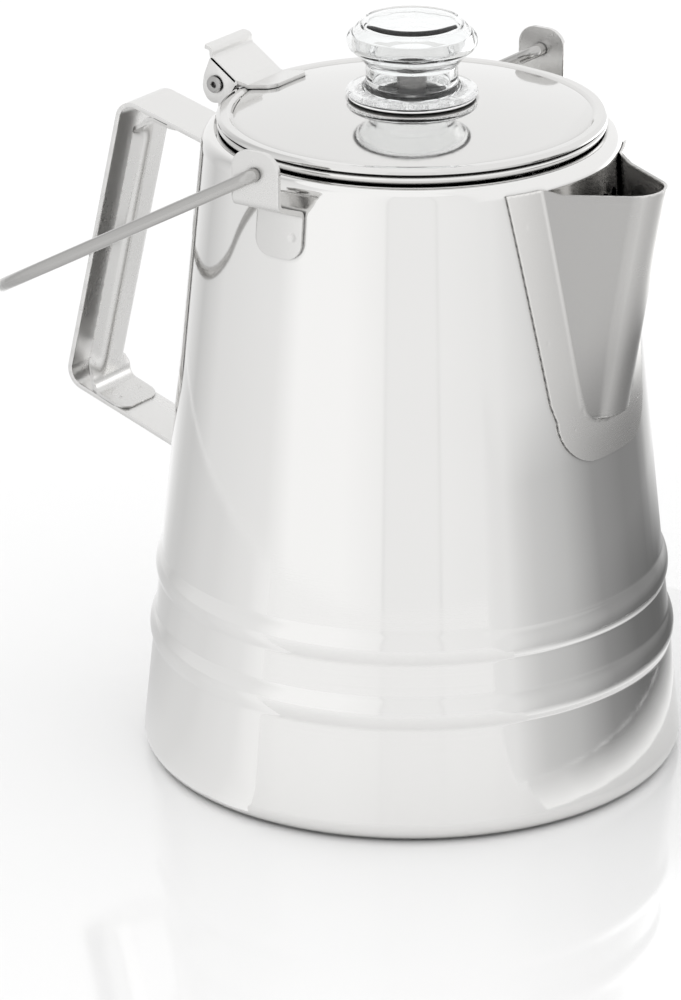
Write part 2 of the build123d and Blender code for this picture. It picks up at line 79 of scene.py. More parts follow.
GRIP_T, GRIP_FACE_W, GRIP_DEPTH, GRIP_FLANGE = 1.2, 11.5, 10.8, 5.2
GRIP_ENDS_X, GRIP_WELDS_X, GRIP_BEND = (-81.0, -103.5), (-86.0, -108.6), 4.4
DOME_TOP, DOME_R, LID_T, LID_R, LID_HOLE_R = 209.2, 294.1, 0.9, 58.9, 13.2
SKIRT_LOW, LUG_R, LUG_ARC = 192.6, 16.0, 56.0
LEVER_W, LEVER_T, TONGUE_CORNER = 20.8, 1.2, 3.4
KNOB_LOW, KNOB_NECK_R, KNOB_CAP_R, KNOB_CAVITY_R = 209.7, 13.9, 19.7, 10.3
STEM_R, STEM_BORE_R, STEM_TOP = 4.5, 3.7, 217.0


# ---------------------------------------------------------------- outlines
def wall(z, out=0.0):
    """Radius of the pot wall's outer face at height z."""
    return WALL_R - TAPER * z + out


def dome_z(r, drop=0.0):
    """Height of the lid's dome at radius r, or of a face the given distance under it."""
    return DOME_TOP - DOME_R + sqrt((DOME_R - drop) ** 2 - r * r)


def arc3(a, b, c, step=6.0):
    """Points after a, on the arc from a through b to c."""
    (ax, ay), (bx, by), (cx, cy) = a, b, c
    d = 2 * (ax * (by - cy) + bx * (cy - ay) + cx * (ay - by))
    aa, bb, cc = ax * ax + ay * ay, bx * bx + by * by, cx * cx + cy * cy
    ux = (aa * (by - cy) + bb * (cy - ay) + cc * (ay - by)) / d
    uy = (aa * (cx - bx) + bb * (ax - cx) + cc * (bx - ax)) / d
    r = hypot(ax - ux, ay - uy)
    a0, a1, a2 = (atan2(q - uy, p - ux) for p, q in (a, b, c))
    first, turn = (a1 - a0) % (2 * pi), (a2 - a0) % (2 * pi)
    if first > turn:
        turn -= 2 * pi
    n = max(2, ceil(abs(degrees(turn)) / step))
    return [(ux + r * cos(a0 + turn * i / n), uy + r * sin(a0 + turn * i / n)) for i in range(1, n + 1)]


def rounded(points, closed=False, step=10.0):
    """A path of (x, y) or (x, y, radius) corners, the ones with a radius made into arcs."""
    out, n = [], len(points)
    for i, point in enumerate(points):
        here = Vector(point[:2])
        radius = point[2] if len(point) > 2 else 0.0
        if not radius or (not closed and i in (0, n - 1)):
            out.append(tuple(here))
            continue
        u = (Vector(points[i - 1][:2]) - here).normalized()
        v = (Vector(points[(i + 1) % n][:2]) - here).normalized()
        half = u.angle(v) / 2
        if half > radians(89):
            out.append(tuple(here))
            continue
        centre = here + (u + v).normalized() * (radius / sin(half))
        start, end = here + u * radius / tan(half), here + v * radius / tan(half)
        a0, a1 = (atan2(p.y - centre.y, p.x - centre.x) for p in (start, end))
        turn = (a1 - a0 + pi) % (2 * pi) - pi
        k = max(2, ceil(abs(degrees(turn)) / step))
        out += [
            (centre.x + radius * cos(a0 + turn * j / k), centre.y + radius * sin(a0 + turn * j / k))
            for j in range(k + 1)
        ]
    return out


def densify(path, longest=2.5, near=0.3):
    """Adds points to long stretches, and one close to each end so that shading stays flat between."""
    out = [path[0]]
    for a, b in zip(path, path[1:]):
        length = hypot(b[0] - a[0], b[1] - a[1])
        if length > 4 * near:
            inner = max(1, ceil((length - 2 * near) / longest))
            marks = [near + (length - 2 * near) * i / inner for i in range(inner + 1)]
            out += [(a[0] + (b[0] - a[0]) * m / length, a[1] + (b[1] - a[1]) * m / length) for m in marks]
        out.append(b)
    return out


def span(start, stop, count):
    """Numbers from start to stop, in count equal steps."""
    return [start + (stop - start) * i / count for i in range(count + 1)]


# ---------------------------------------------------------------- meshes
def new_object(name, verts, faces, sharp=35.0):
    """A mesh object from points in millimetres, with edges over the given angle kept sharp."""
    mesh = bpy.data.meshes.new(name)
    mesh.from_pydata([Vector(v) * MM for v in verts], [], faces)
    obj = bpy.data.objects.new(name, mesh)
    bpy.context.scene.collection.objects.link(obj)
    bm = bmesh.new()
    bm.from_mesh(mesh)
    bmesh.ops.remove_doubles(bm, verts=bm.verts, dist=2e-6)
    bmesh.ops.recalc_face_normals(bm, faces=bm.faces)
    bm.to_mesh(mesh)
    bm.free()
    smooth(mesh, sharp)
    return obj


def smooth(mesh, sharp=35.0):
    mesh.polygons.foreach_set("use_smooth", [True] * len(mesh.polygons))
    mesh.set_sharp_from_angle(angle=radians(sharp))


def lathe(name, profile, steps=240, sharp=35.0):
    """Turns a closed profile of (radius, height) about Z."""
    verts, n = [], len(profile)
    for i in range(steps):
        a = 2 * pi * i / steps
        verts += [(r * cos(a), r * sin(a), z) for r, z in profile]
    faces = []
    for i in range(steps):
        j = (i + 1) % steps
        faces += [(i * n + k, j * n + k, j * n + (k + 1) % n, i * n + (k + 1) % n) for k in range(n)]
    return new_object(name, verts, faces, sharp)


def grid(name, rows, sharp=35.0):
    """A sheet through rows of points, all of the same length."""
    width = len(rows[0])
    verts = [p for row in rows for p in row]
    faces = [
        (r * width + c, r * width + c + 1, (r + 1) * width + c + 1, (r + 1) * width + c)
        for r in range(len(rows) - 1) for c in range(width - 1)
    ]
    return new_object(name, verts, faces, sharp)


def prism(name, outline, low, high, axis="Y"):
    """A plate: a closed outline in the XZ plane pushed along Y, or in XY pushed along Z."""
    point = {"Y": lambda u, v, w: (u, w, v), "Z": lambda u, v, w: (u, v, w)}[axis]
    n = len(outline)
    verts = [point(u, v, low) for u, v in outline] + [point(u, v, high) for u, v in outline]
    faces = [tuple(range(n)), tuple(range(2 * n - 1, n - 1, -1))]
    faces += [(i, (i + 1) % n, n + (i + 1) % n, n + i) for i in range(n)]
    return new_object(name, verts, faces)


def thicken(obj, thickness, offset):
    mod = obj.modifiers.new("thickness", "SOLIDIFY")
    mod.thickness, mod.offset = thickness * MM, offset
    mod.use_even_offset = True
    return obj


def ease(obj, width=0.25, segments=3, angle=40.0):
    """Rounds every sharp edge a little, as on deburred sheet metal."""
    mod = obj.modifiers.new("deburred", "BEVEL")
    mod.width, mod.segments = width * MM, segments
    mod.limit_method, mod.angle_limit = "ANGLE", radians(angle)
    mod.harden_normals = True
    mod.use_clamp_overlap = True
    return obj


def settle(obj, sharp=None):
    """Turns the object's modifiers into its mesh."""
    graph = bpy.context.evaluated_depsgraph_get()
    mesh = bpy.data.meshes.new_from_object(obj.evaluated_get(graph))
    obj.modifiers.clear()
    obj.data = mesh
    if sharp:
        smooth(mesh, sharp)
    return obj


def merge(name, objects):
    """Joins the objects' meshes into the first one."""
    bm = bmesh.new()
    for obj in objects:
        bm.from_mesh(settle(obj).data)
    bm.to_mesh(objects[0].data)
    bm.free()
    for obj in objects[1:]:
        bpy.data.objects.remove(obj)
    objects[0].name = name
    return objects[0]


def cut(obj, cutters, sharp=35.0):
    """Takes the cutters away from the object."""
    settle(obj)
    for cutter in cutters:
        mod = obj.modifiers.new("cut", "BOOLEAN")
        mod.operation, mod.object, mod.solver = "DIFFERENCE", cutter, "EXACT"
        settle(obj)
        bpy.data.objects.remove(cutter)
    smooth(obj.data, sharp)
    return obj


def rod(centre, direction, radius, length, steps=28):
    """A round cutter, centred on a point."""
    turn = Vector((0, 0, 1)).rotation_difference(Vector(direction)).to_matrix()
    verts, faces = [], []
    for side in (-0.5, 0.5):
        for i in range(steps):
            a = 2 * pi * i / steps
            local = Vector((radius * cos(a), radius * sin(a), side * length))
            verts.append(Vector(centre) + turn @ local)
    faces = [tuple(range(steps)), tuple(range(2 * steps - 1, steps - 1, -1))]
    faces += [(i, (i + 1) % steps, steps + (i + 1) % steps, steps + i) for i in range(steps)]
    return new_object("rod", verts, faces)


def ball(centre, radius):
    """A round-ended cutter for a spot-weld dimple."""
    mesh = bpy.data.meshes.new("ball")
    bm = bmesh.new()
    bmesh.ops.create_uvsphere(bm, u_segments=24, v_segments=16, radius=radius * MM)
    bmesh.ops.translate(bm, verts=bm.verts, vec=Vector(centre) * MM)
    bm.to_mesh(mesh)
    bm.free()
    obj = bpy.data.objects.new("ball", mesh)
    bpy.context.scene.collection.objects.link(obj)
    return obj


def dimple(point, normal, width=1.1, depth=0.22):
    """A ball that leaves a dent of the given half-width and depth at a point on a face."""
    radius = (width * width + depth * depth) / (2 * depth)
    return ball(Vector(point) + Vector(normal).normalized() * (radius - depth), radius)


def tube(name, path, radius, sides=24, dome=0.35):
    """A round bar along a path of 3-D points, with eased ends."""
    points = [Vector(p) for p in path]
    tangents = [(b - a).normalized() for a, b in zip(points, points[1:])]
    tangents = [tangents[0]] + [(a + b).normalized() for a, b in zip(tangents, tangents[1:])] + [tangents[-1]]
    side = tangents[0].orthogonal().normalized()
    rings = []
    for point, along in zip(points, tangents):
        side = (side - along * side.dot(along)).normalized()
        rings.append((point, side.copy(), along.cross(side), radius))
    first, last = rings[0], rings[-1]
    inset = radius - dome
    start = [(first[0] - tangents[0] * dome * sin(a), first[1], first[2], inset + dome * cos(a))
             for a in (radians(90), radians(60), radians(30))]
    end = [(last[0] + tangents[-1] * dome * sin(a), last[1], last[2], inset + dome * cos(a))
           for a in (radians(30), radians(60), radians(90))]
    verts = []
    turns = [2 * pi * k / sides for k in range(sides)]
    for centre, u, v, r in start + rings + end:
        verts += [centre + u * r * cos(a) + v * r * sin(a) for a in turns]
    count = len(verts) // sides
    faces = [
        (i * sides + k, i * sides + (k + 1) % sides, (i + 1) * sides + (k + 1) % sides, (i + 1) * sides + k)
        for i in range(count - 1) for k in range(sides)
    ]
    faces += [tuple(range(sides)), tuple(range((count - 1) * sides, count * sides))]
    return new_object(name, verts, faces, 50)


# ---------------------------------------------------------------- materials
def shader(name):
    material = bpy.data.materials.new(name)
    material.use_nodes = True
    tree = material.node_tree
    return material, tree, tree.nodes["Principled BSDF"]


def noise(tree, scale, stretch=(1, 1, 1), detail=3.0, rough=0.55):
    """A noise over the object, finer along an axis where its stretch is larger."""
    where = tree.nodes.new("ShaderNodeTexCoord")
    mapping = tree.nodes.new("ShaderNodeMapping")
    mapping.inputs["Scale"].default_value = stretch
    texture = tree.nodes.new("ShaderNodeTexNoise")
    texture.inputs["Scale"].default_value = scale
    texture.inputs["Detail"].default_value = detail
    texture.inputs["Roughness"].default_value = rough
    tree.links.new(where.outputs["Object"], mapping.inputs["Vector"])
    tree.links.new(mapping.outputs["Vector"], texture.inputs["Vector"])
    return texture.outputs["Fac"]


def between(tree, value, low, high, start=0.3, stop=0.7):
    """Goes from low to high while the value goes from start to stop."""
    node = tree.nodes.new("ShaderNodeMapRange")
    for socket, number in (("From Min", start), ("From Max", stop), ("To Min", low), ("To Max", high)):
        node.inputs[socket].default_value = number
    tree.links.new(value, node.inputs["Value"])
    return node.outputs["Result"]


def calculate(tree, operation, *values):
    """A sum, a maximum and the like, of sockets and plain numbers."""
    node = tree.nodes.new("ShaderNodeMath")
    node.operation = operation
    for socket, value in zip(node.inputs, values):
        if isinstance(value, float):
            socket.default_value = value
        else:
            tree.links.new(value, socket)
    return node.outputs[0]


def multiplied(tree, colour, by):
    node = tree.nodes.new("ShaderNodeMix")
    node.data_type, node.blend_type = "RGBA", "MULTIPLY"
    node.inputs["Factor"].default_value = 1.0
    tree.links.new(colour, node.inputs["A"])
    tree.links.new(by, node.inputs["B"])
    return node.outputs["Result"]


def bumpy(tree, height, strength, distance):
    """Small hills and dips that change only the shading."""
    node = tree.nodes.new("ShaderNodeBump")
    node.inputs["Strength"].default_value = strength
    node.inputs["Distance"].default_value = distance
    tree.links.new(height, node.inputs["Height"])
    return node


def two_tones(tree, value, dark, light):
    node = tree.nodes.new("ShaderNodeMix")
    node.data_type = "RGBA"
    node.inputs["A"].default_value = (*dark, 1)
    node.inputs["B"].default_value = (*light, 1)
    tree.links.new(value, node.inputs["Factor"])
    return node.outputs["Result"]


def painted_crevice_shade(tree, colour):
    """Darkens a colour in narrow gaps and creases, where pieces meet or stand on the floor: painted shade,
    found by ambient occlusion.
    """
    darkest = 0.2
    gap = tree.nodes.new("ShaderNodeAmbientOcclusion")
    gap.samples = 4
    gap.inputs["Distance"].default_value = 0.0016
    return multiplied(tree, colour, between(tree, gap.outputs["AO"], darkest, 1.0, 0.35, 0.8))


def steel(
    name, tint, gloss, grain=(1, 1, 1), grain_scale=900.0, grain_depth=0.02, wave_depth=0.0, brushed=0.0,
):
    """Bare metal. Gloss is the range of its roughness; grain is the direction of its polish lines."""
    material, tree, bsdf = shader(name)
    bsdf.inputs["Metallic"].default_value = 1.0
    lines = noise(tree, grain_scale, grain, 2.0)
    smudges = noise(tree, 22.0, (1, 1, 1), 4.0, 0.6)
    low, high = gloss
    rough = calculate(tree, "ADD", between(tree, smudges, low, high), between(tree, lines, 0.0, 0.02))
    tree.links.new(rough, bsdf.inputs["Roughness"])
    shade = [c * 0.975 for c in tint]
    # The colour is darkened in narrow gaps and creases: painted shade.
    tree.links.new(painted_crevice_shade(tree, two_tones(tree, smudges, shade, tint)), bsdf.inputs["Base Color"])
    bump = bumpy(tree, lines, grain_depth, 0.0002)
    if wave_depth:
        waves = bumpy(tree, noise(tree, 26.0, (1, 1, 0.6), 1.0), wave_depth, 0.001)
        tree.links.new(waves.outputs["Normal"], bump.inputs["Normal"])
    tree.links.new(bump.outputs["Normal"], bsdf.inputs["Normal"])
    if brushed:
        round_z = tree.nodes.new("ShaderNodeTangent")
        round_z.direction_type, round_z.axis = "RADIAL", "Z"
        bsdf.inputs["Anisotropic"].default_value = brushed
        tree.links.new(round_z.outputs["Tangent"], bsdf.inputs["Tangent"])
    return material


def paint_channel_shade(material):
    """Darkens the folded channel's colour against its flange: painted shade, heaviest on the cheeks; the
    nose, darkened less, stays lighter as a painted highlight.
    """
    tree = material.node_tree
    bsdf = next(node for node in tree.nodes if node.type == "BSDF_PRINCIPLED")
    base = bsdf.inputs["Base Color"].links[0].from_socket
    where = tree.nodes.new("ShaderNodeTexCoord")
    parts = tree.nodes.new("ShaderNodeSeparateXYZ")
    tree.links.new(where.outputs["Object"], parts.inputs[0])
    plan = tree.nodes.new("ShaderNodeCombineXYZ")
    tree.links.new(parts.outputs["X"], plan.inputs["X"])
    tree.links.new(parts.outputs["Y"], plan.inputs["Y"])
    radius = tree.nodes.new("ShaderNodeVectorMath")
    radius.operation = "LENGTH"
    tree.links.new(plan.outputs[0], radius.inputs[0])
    at_foot = calculate(tree, "MULTIPLY_ADD", parts.outputs["Z"], TAPER, radius.outputs["Value"])
    flange = (WALL_R + SPOUT_T) * MM
    fold_start, fold_stop = flange + 0.04 * MM, flange + 0.5 * MM
    cheek_start, cheek_stop = 6.6 * MM, 9.2 * MM
    aside = calculate(tree, "ABSOLUTE", parts.outputs["Y"])
    channel = tree.nodes.new("ShaderNodeMix")
    channel.data_type = "RGBA"
    channel.inputs["A"].default_value = (1, 1, 1, 1)
    stands_out = between(tree, at_foot, 0.0, 1.0, fold_start, fold_stop)
    tree.links.new(stands_out, channel.inputs["Factor"])
    # Painted shade on the cheeks, less towards the nose, which stays lighter as a painted highlight.
    tree.links.new(between(tree, aside, 0.84, 0.56, cheek_start, cheek_stop), channel.inputs["B"])
    tree.links.new(multiplied(tree, base, channel.outputs["Result"]), bsdf.inputs["Base Color"])
    return material


def clear_glass(name):
    """Clear pressed glass, with the faint waviness and specks of the moulding."""
    material, tree, bsdf = shader(name)
    bsdf.inputs["Transmission Weight"].default_value = 1.0
    bsdf.inputs["IOR"].default_value = 1.5
    tint = two_tones(tree, noise(tree, 60.0), (0.955, 0.965, 0.965), (0.985, 0.99, 0.99))
    tree.links.new(tint, bsdf.inputs["Base Color"])
    tree.links.new(between(tree, noise(tree, 140.0), 0.0, 0.02), bsdf.inputs["Roughness"])
    bump = bumpy(tree, noise(tree, 120.0, (1, 1, 1), 1.0), 0.12, 0.001)
    tree.links.new(bump.outputs["Normal"], bsdf.inputs["Normal"])
    let_light_in(tree, bsdf)
    return material


def let_light_in(tree, bsdf):
    """Glass casts no full shadow: what lies inside it and under it stays lit."""
    rays = tree.nodes.new("ShaderNodeLightPath")
    either = calculate(tree, "MAXIMUM", rays.outputs["Is Shadow Ray"], rays.outputs["Is Diffuse Ray"])
    clear = tree.nodes.new("ShaderNodeBsdfTransparent")
    mix = tree.nodes.new("ShaderNodeMixShader")
    output = next(node for node in tree.nodes if node.type == "OUTPUT_MATERIAL")
    tree.links.new(either, mix.inputs["Fac"])
    tree.links.new(bsdf.outputs[0], mix.inputs[1])
    tree.links.new(clear.outputs[0], mix.inputs[2])
    tree.links.new(mix.outputs[0], output.inputs["Surface"])


def silicone(name):
    """Milky silicone rubber."""
    material, tree, bsdf = shader(name)
    tone = two_tones(tree, noise(tree, 240.0), (0.88, 0.88, 0.88), (0.95, 0.95, 0.95))
    tree.links.new(tone, bsdf.inputs["Base Color"])
    tree.links.new(between(tree, noise(tree, 700.0), 0.3, 0.4), bsdf.inputs["Roughness"])
    bump = bumpy(tree, noise(tree, 1500.0), 0.1, 0.0001)
    tree.links.new(bump.outputs["Normal"], bsdf.inputs["Normal"])
    return material


BRIGHT = (0.83, 0.825, 0.815)
SATIN_LID = (0.745, 0.74, 0.73)
body_steel = steel("body_steel", BRIGHT, (0.045, 0.085), (0.02, 0.02, 1.6), 1400.0, 0.012, 0.010)
lid_steel = steel("lid_steel", SATIN_LID, (0.05, 0.08), (1, 1, 0.02), 700.0, 0.012, 0.008)
rim_steel = steel("rim_steel", BRIGHT, (0.05, 0.09), (1, 1, 1), 900.0, 0.01)
# The spout's channel gets painted shade and a painted highlight in its colour.
spout_steel = paint_channel_shade(
    steel("spout_steel", (0.82, 0.81, 0.795), (0.22, 0.28), (0.05, 0.05, 1.6), 1300.0, 0.004, 0.004, 0.6)
)
strap_steel = steel("strap_steel", (0.78, 0.775, 0.765), (0.24, 0.32), (0.6, 1.6, 0.6), 1200.0, 0.02, 0.010)
grip_steel = steel("grip_steel", (0.70, 0.695, 0.685), (0.24, 0.30), (0.6, 1.6, 0.6), 1200.0, 0.03, 0.010)
ear_steel = steel("ear_steel", (0.73, 0.725, 0.715), (0.20, 0.28), (1, 1, 1), 1500.0, 0.06)
wire_steel = steel("wire_steel", (0.50, 0.495, 0.485), (0.12, 0.18), (0.2, 1.5, 0.2), 1500.0, 0.05)
inner_steel = steel("inner_steel", (0.74, 0.735, 0.725), (0.24, 0.32), (1, 1, 0.1), 900.0, 0.04)
base_steel = steel("base_steel", (0.66, 0.655, 0.645), (0.26, 0.36), (1, 1, 0.02), 1100.0, 0.08)
pin_steel = steel("pin_steel", (0.44, 0.435, 0.43), (0.12, 0.20), (1, 1, 1), 1600.0, 0.05)
collar_aluminium = steel("collar_aluminium", (0.86, 0.86, 0.86), (0.30, 0.38), (1, 1, 1), 1600.0, 0.05)
pump_aluminium = steel("pump_aluminium", (0.22, 0.215, 0.21), (0.20, 0.28), (1.2, 1.2, 0.05), 1300.0, 0.05)
knob_glass = clear_glass("knob_glass")
seal_silicone = silicone("seal_silicone")


DRESSED = {
    "base_disc": base_steel, "hinge_bracket": strap_steel, "knob_collar": collar_aluminium,
    "knob_seal": seal_silicone, "pump_foot": pump_aluminium, "stem_collar": pump_aluminium,
    "basket": inner_steel, "basket_lid": inner_steel,
}


def place(obj, body, material, *nodes):
    """Gives a piece its material, its body, and the CAD nodes that it stands for."""
    obj.data.materials.clear()
    obj.data.materials.append(material)
    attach(obj, body)
    if nodes:
        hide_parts(*nodes)


def dress(node, material):
    """Gives a CAD node that stays its material, and smooth shading on its round faces."""
    obj = frame["nodes"][node]
    obj.data.materials.clear()
    obj.data.materials.append(material)
    smooth(obj.data, 30)


# ---------------------------------------------------------------- pot
def bead_out(z):
    """How far the two rolled beads stand out of the wall at height z, with soft feet."""
    radius = (BEAD_HALF ** 2 + BEAD_OUT ** 2) / (2 * BEAD_OUT)
    soft = 0.22
    total = 0.0
    for centre in BEADS:
        away = abs(z - centre)
        if away < radius * 0.95:
            rise = sqrt(radius ** 2 - away ** 2) - (radius - BEAD_OUT)
            total += 0.5 * (rise + sqrt(rise * rise + soft * soft)) - (soft ** 2 / 12 if away < 6 else 0)
    return total


def pot_profile():
    """The section of the pot's sheet: out along the bottom, up the wall, and back down the inside."""
    outer = [(0.0, 1.6), (66.0, 1.6), (70.0, 0.0), (CORNER_X, 0.0)]
    for i in range(1, 15):
        a = radians(-90 + 84 * i / 14)
        outer.append((CORNER_X + CORNER_R * cos(a), CORNER_R + CORNER_R * sin(a)))
    heights = span(CORNER_R + 0.4, 30, 12) + span(30.4, 72, 104) + span(74, SHOULDER_Z, 60)
    outer += [(wall(z, bead_out(z)), z) for z in heights]
    outer += arc3((wall(SHOULDER_Z), SHOULDER_Z), (62.6, 197.55), (60.4, 199.0))
    outer += rounded([
        (60.2, 199.1), (59.6, RIM_TOP), (58.3, RIM_TOP), (LIP_R, 198.9, 0.3), (LIP_R, 198.3), (60.0, 198.3),
    ])
    inner = arc3((60.0, 198.3), (61.6, 197.1), (wall(SHOULDER_Z, -WALL_T), SHOULDER_Z))
    inner += [(wall(z, bead_out(z) - WALL_T), z) for z in reversed(span(7.0, SHOULDER_Z - 1, 120))]
    inner += arc3((wall(7.0, -WALL_T), 7.0), (CORNER_X + 3.6, 2.5), (CORNER_X, 0.9))
    return outer + inner + [(70.2, 0.9), (66.2, 2.5), (0.0, 2.5)]


def pot():
    """The whole sheet of the pot, which stands for its pan, wall and rim."""
    shell = lathe("pot_body", densify(pot_profile(), 6.0), 288, 40)
    holes = []
    for z, count in STRAINER_ROWS:
        for i in range(count):
            y = (i - (count - 1) / 2) * STRAINER_PITCH_Y
            holes.append(rod((wall(z), y, z), (1, 0, 0), STRAINER_R, 24))
    place(cut(shell, [merge("strainer", holes)], 40), "pot", body_steel, "pot_wall", "pot_pan", "pot_rim")


# ---------------------------------------------------------------- spout
def spout_radius(angle, z):
    """Distance from the pot's axis to the folded channel at a plan angle, at height z."""
    t = max(0.0, (SPOUT_TOP - z) / (SPOUT_TOP - SPOUT_LOW))
    root = Vector([top + (low - top) * t for top, low in zip(*SPOUT_ROOT)])
    cheek = Vector([top + (low - top) * t for top, low in zip(*SPOUT_CHEEK)])
    tip = SPOUT_TIP[0] + (SPOUT_TIP[1] - SPOUT_TIP[0]) * t
    sagitta = tip - cheek.x
    bend = (cheek.y ** 2 + sagitta ** 2) / (2 * sagitta)
    middle = tip - bend
    a = abs(angle)
    if a <= atan2(cheek.y, cheek.x):
        return middle * cos(a) + sqrt(max(bend ** 2 - (middle * sin(a)) ** 2, 0.0))
    along = cheek - root
    return (root.x * along.y - root.y * along.x) / (cos(a) * along.y - sin(a) * along.x)


def channel_out(angle, z):
    """How far the channel stands out of the flange, with a soft fold and a round lower end."""
    fold, end_height, end_half, end_curve = 0.5, 1.5, 13.5, 5.0
    face = wall(z, SPOUT_T)
    rise = spout_radius(angle, z) - face
    if rise <= -fold:
        return 0.0
    out = (rise + fold) ** 2 / (4 * fold) if rise < fold else rise
    across = min(1.0, abs(face * sin(angle)) / end_half)
    lift = end_curve * (1 - sqrt(1 - across * across))
    t = max(0.0, min(1.0, (z - SPOUT_LOW - lift) / end_height))
    return out * t * t * (3 - 2 * t)


def flange_half(z):
    """Half-width of the welding flange at height z."""
    for (high, wide), (low, narrow) in zip(FLANGE_SIDES, FLANGE_SIDES[1:]):
        if z > low:
            return narrow + (z - low) * (wide - narrow) / (high - low)
    end_start, end_half = FLANGE_SIDES[-1]
    return end_half - FLANGE_CORNER + sqrt(max(FLANGE_CORNER ** 2 - (end_start - z) ** 2, 0.0))


def spout():
    """One sheet, flange and folded channel together. Its top edge dips where the channel stands out."""
    dip_reach, dip_start = 4.0, 150.0
    corner = [FLANGE_LOW + FLANGE_CORNER * (1 - cos(radians(a / 2))) for a in range(0, 181, 5)]
    heights = corner + span(corner[-1] + 0.8, FLANGE_TOP, 88)
    columns, lip_drop = 132, FLANGE_TOP - SPOUT_TOP
    rows = []
    for z in heights:
        face = wall(z, SPOUT_T)
        edge = asin(flange_half(z) / face)
        row = []
        for a in span(-edge, edge, columns):
            out = channel_out(a, z)
            upper = max(0.0, (z - dip_start) / (FLANGE_TOP - dip_start))
            drop = lip_drop * min(1.0, out / dip_reach) * upper ** 2
            r = face + out
            row.append((r * cos(a), r * sin(a), z - drop))
        rows.append(row)
    sheet = ease(thicken(grid("spout_sheet", rows), SPOUT_T - 0.04, -1), 0.12, 2)
    settle(sheet, 30)
    welds = []
    for side in (-1, 1):
        for z, y in SPOUT_WELDS:
            x = sqrt(wall(z, SPOUT_T) ** 2 - y * y)
            welds.append(dimple((x, side * y, z), (x, side * y, 8.0), 0.8, 0.08))
    place(cut(sheet, welds, 30), "pot", spout_steel, "spout")


# ---------------------------------------------------------------- ears and bail
def ear(side, name, node):
    """The tab on the wall, the sloping shelf and the upright plate, as one bent strip."""
    middle = EAR_T / 2
    upright_y = EAR_FACE_Y - middle
    path = rounded([
        (wall(EAR_LOW, middle), EAR_LOW), (wall(EAR_SHELF_Z, middle), EAR_SHELF_Z, 2.2),
        (upright_y, 194.6, 2.4), (upright_y, EAR_TOP),
    ])
    path = densify(path, 0.8, 0.2)
    half = EAR_W / 2

    def width(z, y):
        radius, from_end = EAR_LOW_CORNER, z - EAR_LOW
        if y > upright_y - 0.1:
            radius, from_end = EAR_TOP_CORNER, EAR_TOP - z
        if from_end >= radius:
            return half
        return half - radius + sqrt(max(radius ** 2 - (radius - from_end) ** 2, 0.0))

    eased = [1 - cos(radians(a)) for a in range(0, 91, 6)]
    path = [p for p in path if not (p[0] > upright_y - 0.1 and p[1] > EAR_TOP - EAR_TOP_CORNER)]
    path += [(upright_y, EAR_TOP - EAR_TOP_CORNER * e) for e in reversed(eased)]
    low_heights = [EAR_LOW + EAR_LOW_CORNER * e for e in eased]
    path = [(wall(z, middle), z) for z in low_heights] + [
        p for p in path if p[1] > EAR_LOW + EAR_LOW_CORNER + 0.05
    ]
    rows = []
    for y, z in path:
        reach = width(z, y)
        curl = max(0.0, min(1.0, 1 - (y - wall(z, middle)) / 8.0))
        row = []
        for c in range(25):
            x = reach * (c / 12 - 1)
            wrapped = sqrt(y * y - (x + EAR_X) ** 2)
            row.append((EAR_X + x, side * (y + (wrapped - y) * curl), z))
        rows.append(row)
    plate = ease(thicken(grid(name, rows), EAR_T - 0.02, 0), 0.2, 3)
    hole = rod((EAR_X, side * EAR_FACE_Y, EAR_Z), (0, 1, 0), WIRE_R + 0.08, 10, 40)
    y_weld = side * sqrt(wall(EAR_WELD_Z, EAR_T) ** 2 - 25.0)
    dents = [dimple((x, y_weld, EAR_WELD_Z), (x, y_weld, 8.0)) for x in (EAR_X - 5.2, EAR_X + 5.2)]
    place(cut(plate, [hole] + dents, 30), "pot", ear_steel, node)


def bail():
    """The wire handle in its rest pose, both ends bent in through the ears and back."""
    bend, hook = 2.6, 5.5
    inner = EAR_FACE_Y - EAR_T - 1.5
    half = rounded([
        (hook, inner - bend), (0.0, inner - bend, bend * 0.98), (0.0, BAIL_LEG_Y, bend),
        (BAIL_REACH, BAIL_LEG_Y, BAIL_CORNER), (BAIL_REACH, 0.0),
    ], step=5.0)
    half = densify(half, 6.0, 0.5)
    outline = half[:-1] + [(u, -v) for u, v in reversed(half)]
    dip = radians(BAIL_DIP)
    path = [(EAR_X - u * cos(dip), v, EAR_Z - u * sin(dip)) for u, v in outline]
    place(tube("bail_bar", path, WIRE_R, 32), "bail", wire_steel, "bail_wire")


# ---------------------------------------------------------------- side handle
def shifted(a, b, distance):
    """The line through a and b moved to its left."""
    along = (Vector(b) - Vector(a)).normalized()
    move = Vector((-along.y, along.x)) * distance
    return Vector(a) + move, Vector(b) + move


def crossing(line1, line2):
    """Where two lines, each given by two points, cross."""
    (p, q), (r, s) = line1, line2
    d1, d2 = q - p, s - r
    t = ((r - p).x * d2.y - (r - p).y * d2.x) / (d1.x * d2.y - d1.y * d2.x)
    return p + d1 * t


def handle_corners(inset, grip_inset):
    """The upper arm's start, the two corners at the grip and the lower arm's line, moved in by the insets."""
    top, low = shifted(*ARM_TOP, inset), shifted(ARM_LOW[1], ARM_LOW[0], inset)
    grip = shifted(ARM_TOP[1], ARM_LOW[1], grip_inset)
    return top, crossing(top, grip), crossing(grip, low), low


